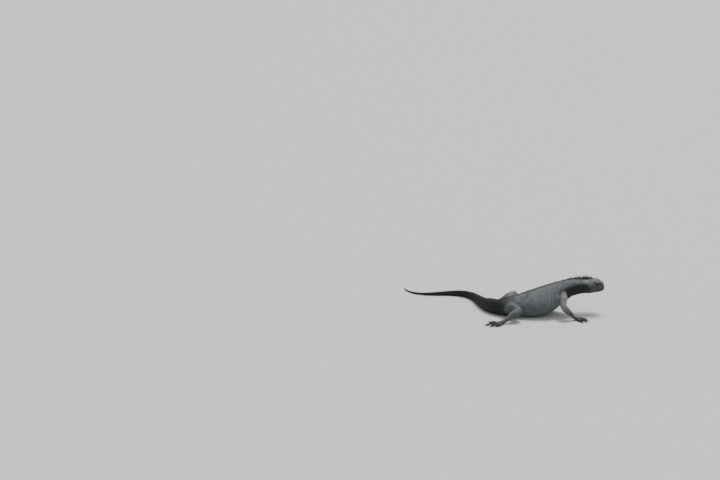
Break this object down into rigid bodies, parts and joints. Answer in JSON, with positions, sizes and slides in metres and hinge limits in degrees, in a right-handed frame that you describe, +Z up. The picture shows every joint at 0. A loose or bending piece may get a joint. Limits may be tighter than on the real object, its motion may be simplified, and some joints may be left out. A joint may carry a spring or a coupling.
{
  "type": "marine iguana",
  "caption": "Life-size still model of a marine iguana resting on its belly, chest raised on the forelegs, head level, legs splayed and the long flattened tail swung to its left.",
  "frame": {"origin": "on the floor, under the middle of the whole animal's box, tail included", "axes": "+Z up, +X towards the snout along the trunk, +Y to the animal's left"},
  "size_m": [0.722, 0.5356, 0.15],
  "materials": {
    "skin": "dry matt blue-grey scales, dusty on the back",
    "tail_skin": "matt brown-black keeled scales in rings",
    "foot_skin": "matt dark scales, brownish on the digits",
    "claw": "dark horn, semi-gloss",
    "eye": "wet gloss, dark brown iris with a round black pupil"
  },
  "bodies": {
    "root": {"head": "skin", "lower_jaw": "skin", "neck": "skin", "torso": "skin", "tail_1": "tail_skin", "tail_2": "tail_skin", "tail_3": "tail_skin", "tail_4": "tail_skin", "tail_5": "tail_skin", "eye_left": "eye", "upper_arm_left": "skin", "forearm_left": "skin", "hand_left": "foot_skin", "claw_finger1_left": "claw", "claw_finger2_left": "claw", "claw_finger3_left": "claw", "claw_finger4_left": "claw", "claw_finger5_left": "claw", "thigh_left": "skin", "shank_left": "skin", "foot_left": "foot_skin", "claw_toe1_left": "claw", "claw_toe2_left": "claw", "claw_toe3_left": "claw", "claw_toe4_left": "claw", "claw_toe5_left": "claw", "eye_right": "eye", "upper_arm_right": "skin", "forearm_right": "skin", "hand_right": "foot_skin", "claw_finger1_right": "claw", "claw_finger2_right": "claw", "claw_finger3_right": "claw", "claw_finger4_right": "claw", "claw_finger5_right": "claw", "thigh_right": "skin", "shank_right": "skin", "foot_right": "foot_skin", "claw_toe1_right": "claw", "claw_toe2_right": "claw", "claw_toe3_right": "claw", "claw_toe4_right": "claw", "claw_toe5_right": "claw"}
  },
  "joints": []
}
